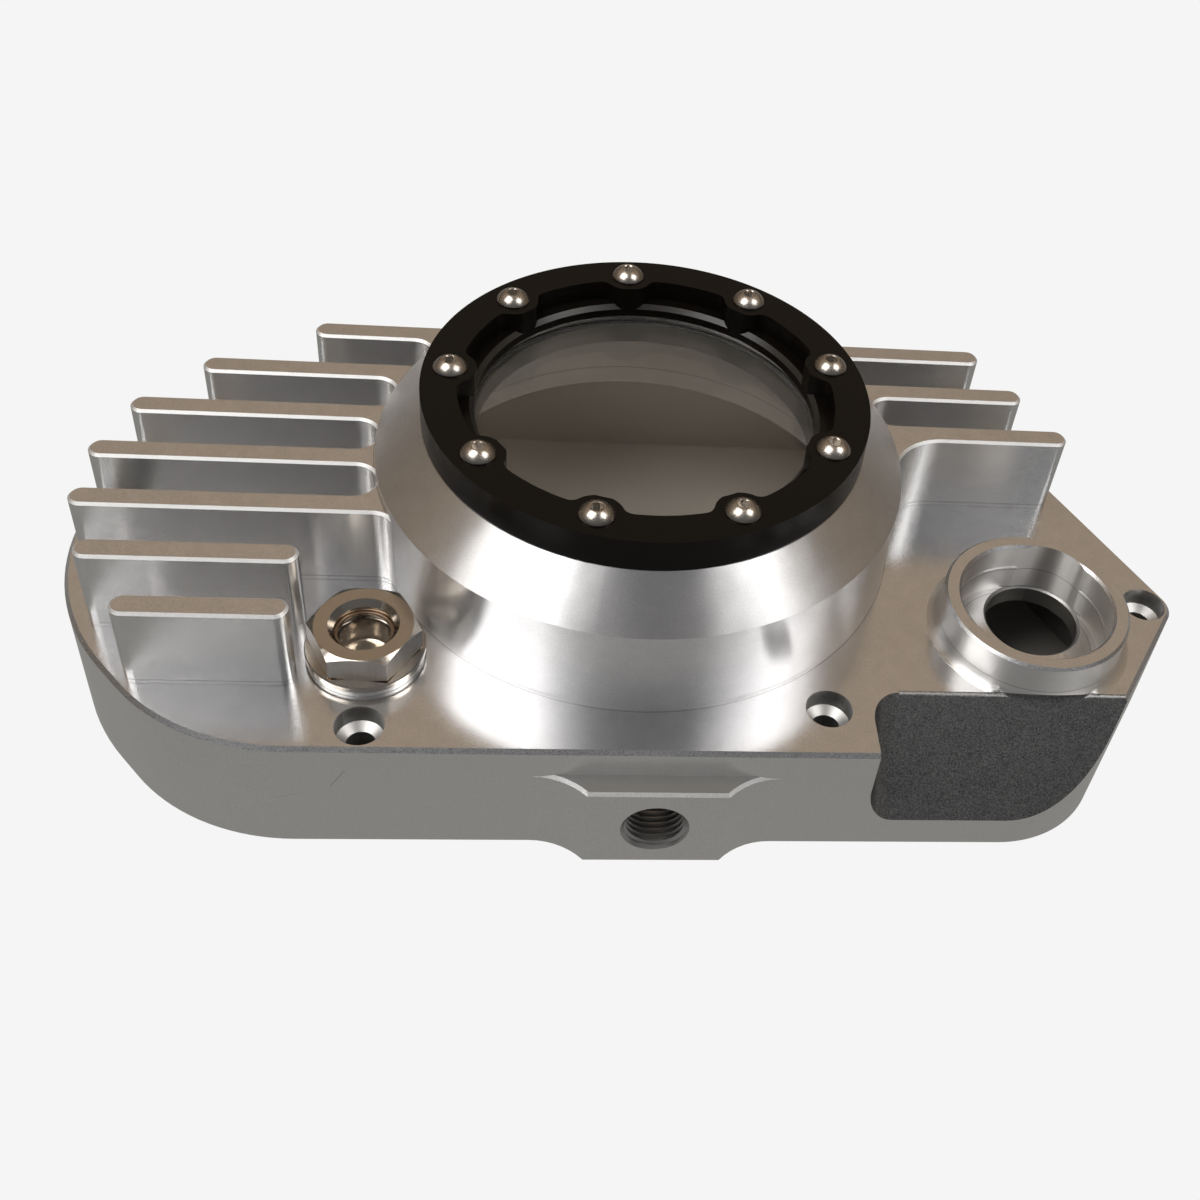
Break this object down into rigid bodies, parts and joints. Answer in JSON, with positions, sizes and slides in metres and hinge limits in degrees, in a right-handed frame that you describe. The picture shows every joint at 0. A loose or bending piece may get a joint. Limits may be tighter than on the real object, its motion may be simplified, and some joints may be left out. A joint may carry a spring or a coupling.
{
  "type": "clutch cover",
  "caption": "Hollow billet clutch cover with cooling fins, a screwed round clutch window, an oil sight fitting, a shaft seal boss and a threaded oil port",
  "frame": {"origin": "where the clutch axis meets the gasket plane", "axes": "+Z is the clutch axis, out of the engine; +X runs along the fins towards the shaft boss; +Y points to the side away from the oil port"},
  "size_m": [0.254, 0.1438, 0.0722],
  "materials": {
    "machined_aluminium": "milled and turned, bright edge breaks",
    "black_anodised": "black anodised, semi-gloss",
    "clear_disc": "clear, smooth",
    "seal_rubber": "matt",
    "stainless": "turned, lightly polished"
  },
  "bodies": {
    "root": {"cover_body": "machined_aluminium", "window_ring": "black_anodised", "window_disc": "clear_disc", "window_seal": "seal_rubber", "ring_screws": "stainless", "sight_washer": "stainless", "sight_body": "stainless", "sight_lens": "clear_disc", "sight_retainer": "stainless", "sight_reflector": "stainless"}
  },
  "joints": []
}
